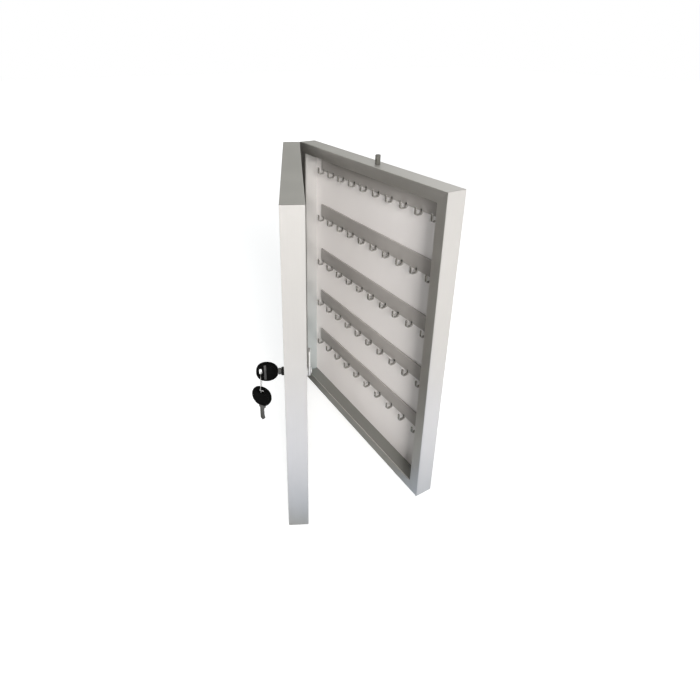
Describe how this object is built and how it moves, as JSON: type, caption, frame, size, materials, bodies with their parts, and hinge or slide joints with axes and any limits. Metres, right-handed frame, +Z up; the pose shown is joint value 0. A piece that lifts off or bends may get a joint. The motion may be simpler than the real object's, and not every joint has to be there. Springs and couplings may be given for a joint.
{
  "type": "key cabinet",
  "caption": "Shallow wall cabinet for keys: mitred metal frame with a lip, hook rails on the back panel, and a hinged framed door with a cam lock and a ring with a spare key.",
  "frame": {"origin": "centre of the back panel's wall face", "axes": "+X to the right of a person who faces the cabinet, +Y into the wall, +Z up"},
  "size_m": [0.3531, 0.2245, 0.463],
  "materials": {
    "satin_silver_profile": "satin anodised silver",
    "cleat_grey": "raw grey casting",
    "pale_panel_paint": "pale grey, half matt",
    "door_panel_silver": "silver, half matt",
    "rail_grey": "mid grey, half gloss",
    "zinc_steel": "zinc plated",
    "hinge_steel": "satin",
    "bright_cam_steel": "bright plated",
    "lock_black": "black",
    "key_steel": "nickel plated",
    "key_head_black": "moulded black",
    "ring_wire": "bright wire"
  },
  "bodies": {
    "cabinet": {"body_top_profile": "satin_silver_profile", "body_bottom_profile": "satin_silver_profile", "body_left_profile": "satin_silver_profile", "body_right_profile": "satin_silver_profile", "body_corner_cleat_top_left": "cleat_grey", "body_corner_cleat_top_right": "cleat_grey", "body_corner_cleat_bottom_left": "cleat_grey", "body_corner_cleat_bottom_right": "cleat_grey", "back_panel": "pale_panel_paint", "back_panel_screw_1": "zinc_steel", "back_panel_screw_2": "zinc_steel", "back_panel_screw_3": "zinc_steel", "back_panel_screw_4": "zinc_steel", "back_panel_screw_5": "zinc_steel", "back_panel_screw_6": "zinc_steel", "key_rail_1": "rail_grey", "key_rail_2": "rail_grey", "key_rail_3": "rail_grey", "key_rail_4": "rail_grey", "key_rail_5": "rail_grey", "top_post": "zinc_steel", "top_post_nut": "zinc_steel", "hinge_body_leaf": "hinge_steel", "hinge_pin": "zinc_steel", "hinge_body_rivet_1": "zinc_steel", "hinge_body_rivet_2": "zinc_steel", "hinge_body_rivet_3": "zinc_steel", "hinge_body_rivet_4": "zinc_steel", "hinge_body_rivet_5": "zinc_steel"},
    "door": {"door_top_profile": "satin_silver_profile", "door_bottom_profile": "satin_silver_profile", "door_hinge_side_profile": "satin_silver_profile", "door_lock_side_profile": "satin_silver_profile", "door_corner_cleat_top_left": "cleat_grey", "door_corner_cleat_top_right": "cleat_grey", "door_corner_cleat_bottom_left": "cleat_grey", "door_corner_cleat_bottom_right": "cleat_grey", "door_panel": "door_panel_silver", "hinge_door_leaf": "hinge_steel", "hinge_door_rivet_1": "zinc_steel", "hinge_door_rivet_2": "zinc_steel", "hinge_door_rivet_3": "zinc_steel", "hinge_door_rivet_4": "zinc_steel", "hinge_door_rivet_5": "zinc_steel", "lock_housing": "lock_black", "lock_nut": "zinc_steel"},
    "plug": {"lock_plug": "lock_black", "lock_cam": "bright_cam_steel", "lock_cam_screw": "bright_cam_steel"},
    "key": {"key_blade": "key_steel", "key_head": "key_head_black"},
    "ring": {"key_ring": "ring_wire"},
    "spare_key": {"spare_key_blade": "key_steel", "spare_key_head": "key_head_black"}
  },
  "joints": [
    {"name": "door_hinge", "type": "hinge", "parent": "cabinet", "child": "door", "pos_m": [-0.1723, -0.02725, 0], "axis": [0, 0, -1], "range_deg": [-26.9, 143.1]},
    {"name": "lock_turn", "type": "hinge", "parent": "door", "child": "plug", "pos_m": [0.09774, -0.16425, -0.0025], "axis": [0.4524, 0.8918, 0], "range_deg": [0, 90]},
    {"name": "key_slide", "type": "slide", "parent": "plug", "child": "key", "axis": [-0.4524, -0.8918, 0], "range_m": [0, 0.021]},
    {"name": "ring_swing", "type": "hinge", "parent": "key", "child": "ring", "pos_m": [0.07192, -0.21512, -0.0062], "axis": [-0.8918, 0.4524, 0], "range_deg": [-10, 45]},
    {"name": "spare_key_swing", "type": "hinge", "parent": "ring", "child": "spare_key", "pos_m": [0.07192, -0.21512, -0.031], "axis": [-0.8918, 0.4524, 0], "range_deg": [-12, 20]}
  ]
}
